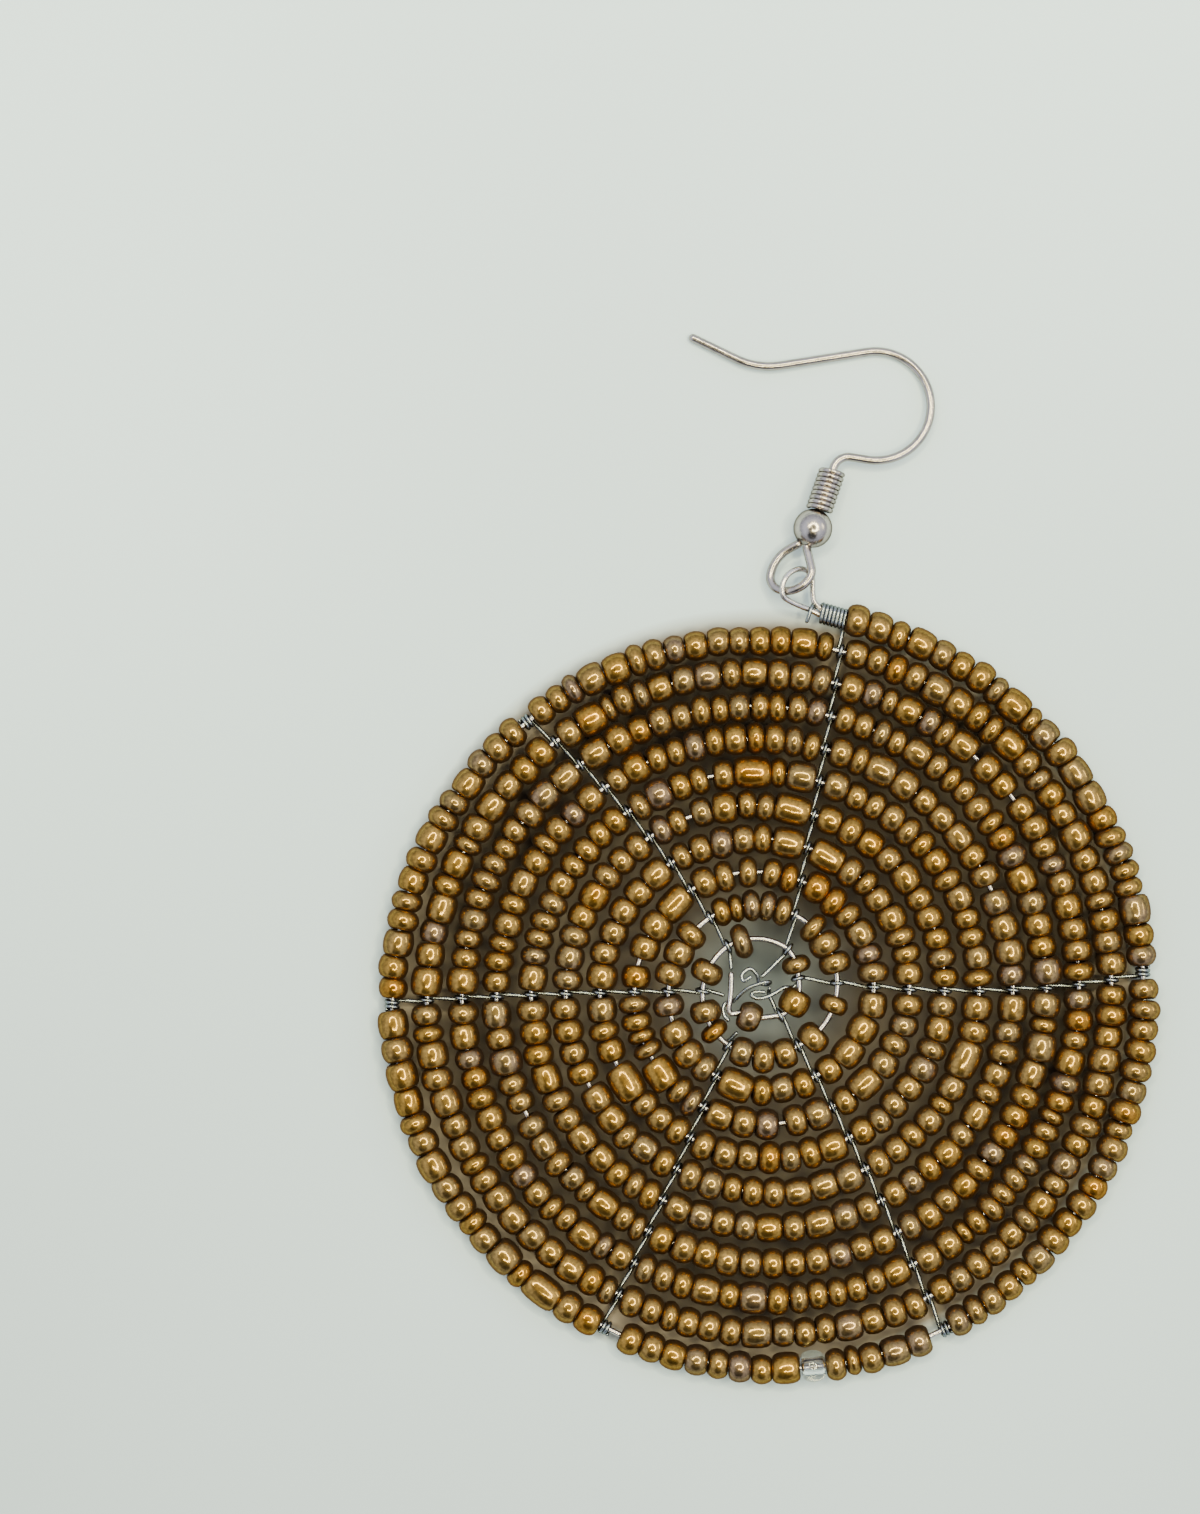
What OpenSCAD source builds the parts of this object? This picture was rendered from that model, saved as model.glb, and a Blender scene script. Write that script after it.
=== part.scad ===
// Beaded disc earring, lying on a flat surface as it does on a table.
//
// Seed beads are threaded on one stiff core wire that winds inwards in a flat
// spiral. Six thin tie wires run below the rows like spokes, and each takes a
// full turn round the core wire at each row. The core wire's outer end is bent
// into a loop and bound with tie wire. A fish-hook ear wire with a ball and a
// small coil hangs in that loop.
//
// X points right and Y up the earring, towards its hook. Z points away from
// the surface that it lies on. Millimetres.

/* [Beads] */
// Outer diameter of a row of seed beads
bead_d = 2.28; // [1.9:0.02:2.4]
// Hole through the beads
bead_hole_d = 0.9; // [0.8:0.05:1.1]
// Clear length from the middle of a rib to the nearest bead
rib_clear = 0.54; // [0.52:0.02:0.6]

/* [Wires] */
// Diameter of the core wire that carries the beads
core_d = 0.43; // [0.3:0.01:0.45]
// Diameter of the thin tie wire
tie_d = 0.28; // [0.2:0.01:0.28]
// Air left between two wires that cross
wire_air = 0.04; // [0.02:0.01:0.08]

/* [Ear hook] */
// Diameter of the ear wire
hook_d = 0.65; // [0.5:0.01:0.7]
// Diameter of the ball on the ear wire
ball_d = 3; // [2.6:0.1:3.2]
// Outer diameter of the coil above the ball
coil_d = 2.1; // [1.8:0.05:2.3]
// Diameter of the coil's own wire
coil_wire_d = 0.38; // [0.25:0.01:0.4]
// Turns of the coil
coil_turns = 8.5; // [5:0.5:8.5]
// Tilt of the hook's bottom loop about the stem
loop_tilt = 25; // [22:1:27]

/* [Hidden] */
$fn = 48;

gold_beads = "#a8792f";
clear_glass = "#c4c8c4";
bright_wire = "#d8d3ca";
dark_wire = "#7d8584";
nickel = "#b9b2a6";

// Where the disc's centre lies from the part's origin, which is under the
// middle of the whole earring
disc_at = [-0.30, -10.47];
// All wires of the disc run at the middle height of the beads
mid_z = bead_d / 2;

// The six ribs, clockwise from the hanging loop. A bearing turns clockwise from
// straight up. The rows' pitch grows by a little from each row to the next, and
// a rib leans to the clockwise side by the three amounts given.
BEARING = 0;
RIM = 1;
PITCH = 2;
GROWTH = 3;
LEAN_RIM = 4;
LEAN_HALF = 5;
LEAN_HUB = 6;
LAST_ROW = 7;
RIBS = [
    // bearing, rim, pitch, growth, lean at rim, halfway, at hub, last row
    [15.0,  29.5, 2.50,  0.006, -1.40, -0.10,  0.90, 10],
    [88.0,  29.2, 2.43,  0.020, -0.50,  0.35, -1.10, 10],
    [151.0, 29.3, 2.77, -0.005,  0.50, -0.30, -0.30, 10],
    [206.5, 28.4, 2.73, -0.012, -0.35,  0.00,  0.90,  9],
    [269.5, 28.6, 2.69, -0.004, -0.40,  0.15,  0.20,  9],
    [322.0, 27.7, 2.55,  0.002, -1.30,  0.50, -0.30,  9]
];
rib_count = len(RIBS);
row_count = 11;

// The inner rows carry few beads, and one row holds the glass bead. A row that
// is listed here has beads only between the bearings given.
PARTLY_BEADED = [
    // sector, row, from, to
    [2, 0, 154.2, 170.5],
    [2, 0, 174.5, 202.8],
    [4, 8, 275.0, 315.0],
    [0, 9, 31, 74],
    [1, 9, 92, 106],
    [1, 9, 122, 141],
    [3, 9, 226, 240],
    [3, 9, 243, 263],
    [4, 9, 281, 301],
    [5, 9, 328, 346],
    [0, 10, 39, 57],
    [1, 10, 96, 123]
];

// The core wire's inner end: past the last bead it turns up in a small hook
LAST_BEAD_AT = [-1.12, -1.8];
last_bead_l = 1.7;
last_bead_turn = 15;
TAIL = [[-0.1, -1.84, 0], [-0.55, -1.88, 0], [-1.12, -1.76, 0], [-1.75, -1.5, 0.02],
        [-2.2, -1.52, 0.06], [-2.55, -1.5, 0.12], [-2.7, -1.15, 0.2], [-2.62, -0.5, 0.28],
        [-2.54, 0.4, 0.3], [-2.52, 1.5, 0.25]];
// The core wire's outer loop, from the bound end to the first row, with its
// height above the beads' middle
OUTER_LOOP = [[3.9, 30.1, 0.018], [3.77, 30.6, 0.027], [3.74, 31.25, 0.045], [3.72, 31.9, 0.073],
              [3.4, 32.45, 0.181], [2.95, 32.65, 0.363], [2.35, 32.55, 0.655], [1.82, 32.2, 0.915],
              [1.48, 31.65, 1.085], [1.35, 31.05, 1.135], [1.48, 30.5, 1.015], [2, 30.15, 0.735],
              [2.8, 29.8, 0.363], [3.6, 29.5, 0.109]];
// The knot of tie wire at the hub
KNOT = [[-2.75, -2, 0.2], [-3.05, -1.65, 0.1], [-3.12, -1.1, -0.05], [-2.95, -0.75, -0.15],
        [-2.6, -0.66, -0.2], [-2.25, -0.5, 0], [-1.9, -0.12, 0.25], [-1.3, 0.4, 0.42],
        [-0.6, 0.72, 0.55], [0.12, 0.93, 0.6], [0.5, 0.88, 0.2], [0.2, 0.68, -0.25],
        [-0.35, 0.85, -0.25], [-0.52, 1.44, -0.05], [-1.06, 1.94, 0.1], [-1.68, 1.5, 0.25],
        [-1.55, 1, 0.4], [-1.06, 1.3, 0.5]];
// Each rib's end, past the last row that it holds. The second one turns back
// in the knot, and the third one passes under it.
RIB_ENDS = [
    [[-0.1, 1.35, 0]],
    [[2.3, 0.5, -0.3], [1.6, 0.46, -0.1], [0.86, 0.05, 0], [0.17, -0.25, 0.1], [-0.5, -0.35, 0.12],
     [-0.95, -0.12, 0.1], [-0.72, 0.14, 0.1], [0, 0.14, 0.1]],
    [[0.72, -0.75, -0.3], [0.5, -0.3, -0.3], [0.4, 0.1, -0.3], [0.45, 0.4, -0.1]],
    [[-2.1, -3.05, -0.2]],
    [[-3.15, -0.1, -0.1]],
    [[-2.52, 2, -0.1]]
];

// Ends of the binding round the hanging loop's foot, at the disc's rim
WRAP_FROM = [4.42, 29.30];
WRAP_TO = [6.27, 28.77];
wrap_turns = 6.5;
wrap_wire_shift = core_d / 2 + 0.015;

// Tie wire that crosses the core wire clears it by this height
clasp = core_d / 2 + tie_d / 2 + wire_air + 0.01;
rim_turns = 1.25;
rim_turn_pitch = tie_d + wire_air;
turn_pitch = 0.46;
turn_r = clasp + 0.05;

// The ear wire lies on its ball, its tip and its far bend
BALL_AT = [3.75, 35.78];
stem_heading = 71;
rest_line_turn = -4.2;
rest_reach = 14.06;
hook_tilt = asin((ball_d - hook_d - 0.02) / 2 / rest_reach);
// Runs of wire from the ball: a straight is [length], a bend [radius, angle],
// to the left if the angle is positive
TO_TIP = [[5.0], [1.2, -80], [1.3], [4.25, 198], [6.7], [5.9, -35]];
tip_l = 3.65;
TO_LOOP_END = [[1.3], [0.8, 33.5], [1.5], [1.0, -50.5], [2.05, -81], [1.1, -72.5], [2.65, -57], [0.75]];

function unit(v) = v / norm(v);
function mix(a, b, t) = a + (b - a) * t;
function at_bearing(r, bearing) = [r * sin(bearing), r * cos(bearing)];

// Crossing number j counts along the spiral: rib j % 6, row floor(j / 6)
function rib_of(j) = RIBS[j % rib_count];
function row_of(j) = floor(j / rib_count);
function lean(rib, row) =
    let (half = (row_count - 1) / 2,
         bow = (rib[LEAN_HUB] - 2 * rib[LEAN_HALF] + rib[LEAN_RIM]) / (2 * half * half),
         slope = (rib[LEAN_HALF] - rib[LEAN_RIM]) / half - bow * half)
    rib[LEAN_RIM] + slope * row + bow * row * row;
function radius_at(j) =
    let (rib = rib_of(j), row = row_of(j)) rib[RIM] - rib[PITCH] * row - rib[GROWTH] * row * row;
function bearing_at(j) =
    rib_of(j)[BEARING] + 360 * row_of(j) + asin(lean(rib_of(j), row_of(j)) / radius_at(j));
function crossing(j) = at_bearing(radius_at(j), bearing_at(j));

// The stretch of a row between two ribs is an arc through both crossings and
// through the spiral's mean point between them: [centre, radius]
function stretch_arc(j) =
    let (a = crossing(j), b = crossing(j + 1),
         m = at_bearing((radius_at(j) + radius_at(j + 1)) / 2,
                        (bearing_at(j) + bearing_at(j + 1)) / 2),
         ab = b - a, am = m - a,
         d = 2 * (ab[0] * am[1] - ab[1] * am[0]),
         u = [am[1] * (ab * ab) - ab[1] * (am * am), ab[0] * (am * am) - am[0] * (ab * ab)] / d)
    [a + u, norm(u)];
function bearing_from(centre, p) = atan2(p[0] - centre[0], p[1] - centre[1]);
// The disc's bearing at a place on a stretch, seen from the stretch's own centre
function stretch_bearing(j, bearing) =
    let (turn = 360 * row_of(j), first = bearing_at(j) - turn, last = bearing_at(j + 1) - turn,
         r = mix(radius_at(j), radius_at(j + 1), (bearing - first) / (last - first)))
    bearing_from(stretch_arc(j)[0], at_bearing(r, bearing));
function turned_past(b, from) = b < from ? turned_past(b + 360, from) : b;

// Points of the core wire over one stretch, with the start and without the
// end, close enough for the wire to stay in the beads' holes
chord_sag = 0.08;
function stretch_points(j) =
    let (arc = stretch_arc(j), c = arc[0], r = arc[1],
         from = bearing_from(c, crossing(j)),
         to = turned_past(bearing_from(c, crossing(j + 1)), from),
         n = ceil((to - from) / (2 * acos(1 - chord_sag / r))))
    [for (i = [0:n - 1]) let (p = c + at_bearing(r, mix(from, to, i / n))) [p[0], p[1], 0]];

// A smooth curve through hand-set points, with m steps from each to the next
function curve_point(a, b, c, d, t) =
    (2 * b + (c - a) * t + (2 * a - 5 * b + 4 * c - d) * t * t
     + (3 * b - a - 3 * c + d) * t * t * t) / 2;
function smooth(p, m) =
    let (n = len(p))
    concat([for (i = [0:n - 2], k = [0:m - 1])
                curve_point(p[max(i - 1, 0)], p[i], p[i + 1], p[min(i + 2, n - 1)], k / m)],
           [p[n - 1]]);

hook_sides = 10;
core_sides = 6;
thin_sides = 5;
turn_steps = 12;

// A wire swept along points. Each ring of corners is carried on from the last
// with as little twist as possible.
function along(p, i) = unit(p[min(i + 1, len(p) - 1)] - p[max(i - 1, 0)]);
function square_to(v, t) = unit(v - (v * t) * t);
function ring(p, i, n, r, sides) =
    let (t = along(p, i), b = cross(t, n))
    [for (k = [0:sides - 1]) p[i] + r * (cos(360 * k / sides) * n + sin(360 * k / sides) * b)];
function rings(p, r, sides) =
    [for (i = 0, n = square_to([0.1, 0.2, 1], along(p, 0)); i < len(p);
          i = i + 1, n = i < len(p) ? square_to(n, along(p, i)) : n)
        each ring(p, i, n, r, sides)];

module wire(p, d, sides) {
    last = (len(p) - 1) * sides;
    polyhedron(
        points = rings(p, d / 2, sides),
        faces = concat(
            [[for (k = [0:sides - 1]) k]],
            [[for (k = [sides - 1:-1:0]) last + k]],
            [for (i = [0:len(p) - 2], k = [0:sides - 1])
                let (a = i * sides + k, b = i * sides + (k + 1) % sides)
                each [[a, a + sides, b + sides], [a, b + sides, b]]]));
}

// Everything on the disc is drawn round the disc's centre at the beads' middle
module on_disc() {
    translate([disc_at[0], disc_at[1], mid_z]) children();
}

// The ear wire's own frame: origin at the ball's centre, X up the stem
module hook_frame() {
    translate([disc_at[0] + BALL_AT[0], disc_at[1] + BALL_AT[1], ball_d / 2])
        rotate(a = -hook_tilt, v = [cos(rest_line_turn), sin(rest_line_turn), 0])
            rotate(stem_heading) children();
}

// Points of a wire along its runs, from p with the given heading. The last
// entry is [end point, end heading].
bend_step = 10;
function run_points(runs, p = [0, 0], heading = 0, i = 0) =
    i == len(runs) ? [[p, heading]] :
    len(runs[i]) == 1 ?
        concat([p], run_points(runs, p + runs[i][0] * [cos(heading), sin(heading)], heading, i + 1)) :
    let (r = runs[i][0] * sign(runs[i][1]), turn = runs[i][1],
         n = ceil(abs(turn) / bend_step), c = p + r * [-sin(heading), cos(heading)],
         on_bend = function(a) c - r * [-sin(a), cos(a)])
    concat([for (k = [0:n - 1]) on_bend(heading + turn * k / n)],
           run_points(runs, on_bend(heading + turn), heading + turn, i + 1));

// One length of wire from the cut end of the bottom loop, through the ball and
// the bow, to the flared tip, which is a true round pin. The swept part is a
// hair thinner, so that its corners stay inside the pin.
module ear_hook() {
    tip_overlap = 0.4;
    swept_d = hook_d - 0.01;
    up = run_points(TO_TIP);
    last = up[len(up) - 1];
    tip = last[0];
    heading = last[1];
    down = run_points(TO_LOOP_END);
    loop = [for (i = [len(down) - 2:-1:1]) down[i]];
    loop_end = down[len(down) - 1][0];
    tilted = function(p) [-p[0], -p[1] * cos(loop_tilt), p[1] * sin(loop_tilt)];
    path = concat([tilted(loop_end)], [for (p = loop) tilted(p)],
                  [for (i = [1:len(up) - 2]) [up[i][0], up[i][1], 0]],
                  [for (x = [0, tip_overlap]) [tip[0] + x * cos(heading), tip[1] + x * sin(heading), 0]]);
    color(nickel) hook_frame() {
        wire(path, swept_d, hook_sides);
        translate([tip[0], tip[1], 0]) rotate(heading) rotate([0, 90, 0])
            cylinder(d = hook_d, h = tip_l);
    }
}

module hook_ball() {
    color(nickel) hook_frame() difference() {
        sphere(d = ball_d);
        rotate([0, 90, 0]) cylinder(d = hook_d + 3 * wire_air, h = ball_d + 1, center = true);
    }
}

// A loose spring on the stem, from the ball's top to the ear wire's kink
module hook_coil() {
    r = (coil_d - coil_wire_d) / 2;
    first_x = ball_d / 2 + wire_air;
    kink_x = TO_TIP[0][0];
    pitch = (kink_x - first_x - coil_wire_d / 2) / (coil_turns + 0.5);
    turn_points = [for (i = [0:coil_turns * turn_steps])
        let (a = 360 * i / turn_steps) [first_x + pitch * i / turn_steps, r * cos(a), r * sin(a)]];
    color(nickel) hook_frame() wire(turn_points, coil_wire_d, core_sides);
}

// The core wire is one length. It is drawn as two nodes that meet inside the
// binding: the hanging loop, and the spiral with its inner hook.
function wrap_point(u, side) =
    let (d = unit(WRAP_TO - WRAP_FROM),
         p = mix(WRAP_FROM, WRAP_TO, u) + side * wrap_wire_shift * [-d[1], d[0]])
    [p[0], p[1], 0];
// Places along the binding for the bound end and for the wire that goes on
// into the rows, with the place where the two nodes meet
BOUND_END = [0.75, 0.4, 0.05];
loop_foot = 0.1;
meeting = 0.4;
rows_start = 0.7;
meeting_gap = 2 * wire_air / norm(WRAP_TO - WRAP_FROM);
smooth_steps = 3;
last_crossing = rib_count * (row_count - 1) + 2;
loop_path = smooth(concat([for (u = BOUND_END) wrap_point(u, 1)], OUTER_LOOP,
                          [wrap_point(loop_foot, -1), wrap_point(meeting, -1)]), smooth_steps);
core_path = concat(
    [wrap_point(meeting + meeting_gap, -1), wrap_point(rows_start, -1)],
    [for (j = [0:last_crossing - 1]) each stretch_points(j)],
    smooth(concat([[crossing(last_crossing)[0], crossing(last_crossing)[1], 0]], TAIL),
           smooth_steps));

module hanging_loop() {
    color(bright_wire) on_disc() wire(loop_path, core_d, core_sides);
}

module core_wire() {
    color(bright_wire) on_disc() wire(core_path, core_d, core_sides);
}

// Tie wire bound round both core wires at the foot of the hanging loop
module top_wrap() {
    r = clasp + 0.05;
    flat_steepness = 3;
    d = unit(WRAP_TO - WRAP_FROM);
    across = [-d[1], d[0], 0];
    turn_points = [for (i = [0:wrap_turns * turn_steps])
        let (a = 360 * i / turn_steps, p = mix(WRAP_FROM, WRAP_TO, i / (wrap_turns * turn_steps)),
             flat = wrap_wire_shift * max(-1, min(1, flat_steepness * cos(a))))
        [p[0], p[1], 0] + (r * cos(a) + flat) * across + [0, 0, r * sin(a)]];
    color(dark_wire) on_disc() wire(turn_points, tie_d, thin_sides);
}

// A rib is one thin wire. It runs straight below the rows and takes one full
// turn round the core wire at each of them: a turn of 0 and of 1 is below the
// wire, and a half turn above it.
rib_turn_steps = 8;
function turn_point(k, row, turn, pitch) =
    let (p = crossing(row * rib_count + k), out = unit(p), way = [-out[1], out[0]],
         flat = p - turn_r * sin(360 * turn) * out + pitch * (0.5 - turn) * way)
    [flat[0], flat[1], -turn_r * cos(360 * turn)];
// The first rib starts beside the outermost row, where the binding is. Each
// other rib starts with more turns round that row.
inside_binding = 0.35;
function rib_path(k) =
    let (last = RIBS[k][LAST_ROW], a = crossing(k), b = crossing(rib_count + k),
         start = mix(a, b, inside_binding))
    concat(k == 0 ? [[start[0], start[1], -turn_r]]
                  : [for (i = [-rib_turn_steps * rim_turns:rib_turn_steps])
                         turn_point(k, 0, i / rib_turn_steps, rim_turn_pitch)],
           [for (row = [1:last], i = [0:rib_turn_steps])
                turn_point(k, row, i / rib_turn_steps, turn_pitch)],
           RIB_ENDS[k]);

module rib_wire(k) {
    color(dark_wire) on_disc() wire(rib_path(k), tie_d, thin_sides);
}

module centre_tie() {
    color(dark_wire) on_disc() wire(smooth(KNOT, smooth_steps), tie_d, thin_sides);
}

// Beads from one bearing to another on a stretch of a row, as a bored tube
module bead_string(j, from, to) {
    centre = stretch_arc(j)[0];
    r = stretch_arc(j)[1];
    a = stretch_bearing(j, from);
    b = turned_past(stretch_bearing(j, to), a);
    translate([centre[0], centre[1], 0]) rotate(90 - b) rotate_extrude(angle = b - a)
        translate([r, 0]) difference() {
            circle(d = bead_d);
            circle(d = bead_hole_d);
        }
}

// The last bead, just before the core wire's inner hook
module last_bead() {
    translate([LAST_BEAD_AT[0], LAST_BEAD_AT[1], 0]) rotate([0, 90, -last_bead_turn]) difference() {
        cylinder(d = bead_d, h = last_bead_l, center = true);
        cylinder(d = bead_hole_d, h = last_bead_l + 1, center = true);
    }
}

// The turns of tie wire round the outermost row take this much more room
rim_room = 0.3;
module bead_sector(k) {
    color(gold_beads) on_disc() for (row = [0:row_count - 1]) {
        j = row * rib_count + k;
        spans = [for (s = PARTLY_BEADED) if (s[0] == k && s[1] == row) s];
        for (s = spans) bead_string(j, s[2], s[3]);
        if (len(spans) == 0 && row < row_count - 1) {
            room_before = degrees_of(rib_room(j), radius_at(j));
            room_after = degrees_of(rib_room(j + 1) + (row == 0 ? rim_room : 0), radius_at(j + 1));
            turn = 360 * row;
            bead_string(j, bearing_at(j) - turn + room_before, bearing_at(j + 1) - turn - room_after);
        }
    }
    if (k == 3) color(gold_beads) on_disc() last_bead();
}
function degrees_of(length, radius) = length / radius * 180 / PI;
// A slanting rib needs more room at the side of the beads that it leans to
function rib_room(j) =
    let (rib = rib_of(j), row = row_of(j), slant = lean(rib, row + 0.5) - lean(rib, row - 0.5))
    rib_clear + abs(slant) / rib[PITCH] * bead_d / 2;

// The one bead of clear glass in the outermost row
module clear_bead() {
    glass_bearing = 172.5;
    glass_l = 1.7;
    corner = 0.55;
    outermost = 2;
    arc = stretch_arc(outermost);
    a = stretch_bearing(outermost, glass_bearing);
    at = arc[0] + at_bearing(arc[1], a);
    color(clear_glass) on_disc() translate([at[0], at[1], 0]) rotate(-a)
        rotate([0, 90, 0]) rotate_extrude() difference() {
            intersection() {
                union() {
                    translate([0, -glass_l / 2 + corner]) square([bead_d / 2, glass_l - 2 * corner]);
                    for (side = [-1, 1]) translate([bead_d / 2 - corner, side * (glass_l / 2 - corner)])
                        circle(r = corner);
                    translate([0, -glass_l / 2]) square([bead_d / 2 - corner, glass_l]);
                }
                translate([bead_hole_d / 2, -glass_l]) square([bead_d, 2 * glass_l]);
            }
        }
}

ear_hook();
hook_ball();
hook_coil();
hanging_loop();
core_wire();
top_wrap();
centre_tie();
rib_wire(0);  // rib_wire_1
rib_wire(1);  // rib_wire_2
rib_wire(2);  // rib_wire_3
rib_wire(3);  // rib_wire_4
rib_wire(4);  // rib_wire_5
rib_wire(5);  // rib_wire_6
bead_sector(0);  // bead_sector_1
bead_sector(1);  // bead_sector_2
bead_sector(2);  // bead_sector_3
bead_sector(3);  // bead_sector_4
bead_sector(4);  // bead_sector_5
bead_sector(5);  // bead_sector_6
clear_bead();
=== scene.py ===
"""A beaded disc earring with a fish-hook ear wire, lying flat on a pale table.

X points right and Y towards the ear hook, as the photograph shows them. Z
points up from the table. Blender works in metres. The disc's own measures are
millimetres from its centre, at the middle height of its beads.
"""

import bpy
import numpy as np
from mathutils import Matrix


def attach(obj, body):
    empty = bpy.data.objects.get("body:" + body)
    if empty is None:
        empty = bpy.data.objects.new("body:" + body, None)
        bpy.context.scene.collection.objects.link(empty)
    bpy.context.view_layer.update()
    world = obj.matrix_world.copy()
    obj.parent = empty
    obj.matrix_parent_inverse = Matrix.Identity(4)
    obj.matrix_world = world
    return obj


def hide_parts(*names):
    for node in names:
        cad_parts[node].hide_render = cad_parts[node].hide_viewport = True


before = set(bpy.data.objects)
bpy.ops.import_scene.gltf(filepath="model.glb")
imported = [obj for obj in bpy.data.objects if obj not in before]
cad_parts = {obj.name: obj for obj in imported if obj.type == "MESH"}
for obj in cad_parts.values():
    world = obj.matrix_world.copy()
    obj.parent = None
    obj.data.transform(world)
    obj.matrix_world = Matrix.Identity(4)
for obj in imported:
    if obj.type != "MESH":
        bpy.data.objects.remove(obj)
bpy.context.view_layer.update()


# ---- The table, the light and the camera ------------------------------------
# A sheet of pale blue-grey card with a shallow hollow under the disc. In the
# hollow the card's colour is painted dark, a painted shade that keeps the gaps
# between the beads dark. A ring lamp round the camera shows as a small bright
# hook on each bead.

MM = 0.001
TABLE_RADIUS = 1.2
HOLLOW_AT = (-0.0003, -0.01047)
HOLLOW_RADIUS = 0.0268
HOLLOW_DEPTH = 0.008
PHOTO_HEIGHT = 1514
PIXELS_PER_MM = 13.0
VIEW_CENTRE = (-0.0129, 0.00774)
BEAD_MIDDLE = 2.28 / 2 * MM
LENS = 85.0
SENSOR = 36.0


def link_value(tree, socket, value):
    """Sets a socket, or joins it to another node's output."""
    if isinstance(value, bpy.types.NodeSocket):
        tree.links.new(value, socket)
    else:
        socket.default_value = value


def add_node(tree, kind, outputs=0, **inputs):
    """Adds one shader node. Inputs are given by name with _ for a space, or as
    in0, in1 by number. Returns the output with the given number or name."""
    node = tree.nodes.new(kind)
    for name, value in inputs.items():
        if name.startswith("in") and name[2:].isdigit():
            link_value(tree, node.inputs[int(name[2:])], value)
        elif name in {s.name.replace(" ", "_") for s in node.inputs}:
            link_value(tree, node.inputs[name.replace("_", " ")], value)
        else:
            setattr(node, name, value)
    return node.outputs[outputs]


def new_finish(name):
    """An empty material: the finish, its node tree and its shader."""
    finish = bpy.data.materials.new(name)
    finish.use_nodes = True
    return finish, finish.node_tree, finish.node_tree.nodes["Principled BSDF"]


card, tree, shader = new_finish("pale_card")
fibres = add_node(tree, "ShaderNodeTexNoise", 0, Scale=900.0, Detail=4.0,
                  Vector=add_node(tree, "ShaderNodeTexCoord", "Object"))
clouds = add_node(tree, "ShaderNodeTexNoise", 0, Scale=9.0, Detail=1.0,
                  Vector=add_node(tree, "ShaderNodeTexCoord", "Object"))
# The card is painted darker towards -Y and lighter towards +Y, a painted falloff of the light.
# The clouds are the card's own uneven tone
far = add_node(tree, "ShaderNodeSeparateXYZ", "Y",
               in0=add_node(tree, "ShaderNodeTexCoord", "Object"))
painted_falloff_and_clouds = add_node(tree, "ShaderNodeMath", 0, operation="ADD", in1=clouds,
                 in0=add_node(tree, "ShaderNodeMapRange", 0, in0=far, in1=-0.05, in2=0.065,
                              in3=-0.5, in4=0.5))
tint = add_node(tree, "ShaderNodeMix", "Result", data_type="RGBA", in0=painted_falloff_and_clouds,
                in6=(0.447, 0.555, 0.622, 1), in7=(0.722, 0.907, 0.995, 1))
# The card under the disc is painted shade: blue-grey and lighter below the hub,
# and brown-grey elsewhere. It ends under the outermost beads
away = add_node(tree, "ShaderNodeVectorMath", "Value", operation="DISTANCE",
                in0=add_node(tree, "ShaderNodeTexCoord", "Object"),
                in1=(*HOLLOW_AT, 0.0))
painted_shade_under_disc = add_node(tree, "ShaderNodeMapRange", 0, in0=away, in1=1.05 * HOLLOW_RADIUS,
                  in2=1.11 * HOLLOW_RADIUS, in3=1.0, in4=0.0)
link_value(tree, shader.inputs["Base Color"],
           add_node(tree, "ShaderNodeMix", "Result", data_type="RGBA", in0=painted_shade_under_disc, in6=tint,
                    in7=add_node(tree, "ShaderNodeMix", "Result", data_type="RGBA",
                                 in0=add_node(tree, "ShaderNodeMapRange", 0, in0=away,
                                              in1=0.005, in2=0.011),
                                 in6=(0.222, 0.350, 0.520, 1),
                                 in7=(0.205, 0.170, 0.138, 1))))
shader.inputs["Roughness"].default_value = 0.75
link_value(tree, shader.inputs["Normal"],
           add_node(tree, "ShaderNodeBump", 0, Strength=0.08, Distance=0.0001, Height=fibres))

# Rings of points round the hollow's middle: depth (r^2 / radius^2 - 1) inside
# it, and flat outside
TABLE_SIDES = 96
ring_radius = np.concatenate([np.linspace(0.04, 1, 14) * HOLLOW_RADIUS,
                              [0.1, 0.4, TABLE_RADIUS]])
ring_z = HOLLOW_DEPTH * np.minimum(0, (ring_radius / HOLLOW_RADIUS) ** 2 - 1)
v = np.arange(TABLE_SIDES) / TABLE_SIDES * 2 * np.pi
points = np.stack([HOLLOW_AT[0] + ring_radius[:, None] * np.cos(v),
                   HOLLOW_AT[1] + ring_radius[:, None] * np.sin(v),
                   np.broadcast_to(ring_z[:, None], (len(ring_z), TABLE_SIDES))], -1)
i, k = np.meshgrid(np.arange(len(ring_z) - 1), np.arange(TABLE_SIDES), indexing="ij")
k2 = (k + 1) % TABLE_SIDES
faces = np.stack([i, i + 1, i + 1, i], -1) * TABLE_SIDES + np.stack([k, k, k2, k2], -1)
mesh = bpy.data.meshes.new("table")
mesh.from_pydata(points.reshape(-1, 3).tolist(), [],
                 faces.reshape(-1, 4).tolist() + [np.arange(TABLE_SIDES).tolist()])
table = bpy.data.objects.new("table", mesh)
table.data.materials.append(card)
bpy.context.collection.objects.link(table)

world = bpy.data.worlds.new("room")
world.use_nodes = True
bpy.context.scene.world = world
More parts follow.
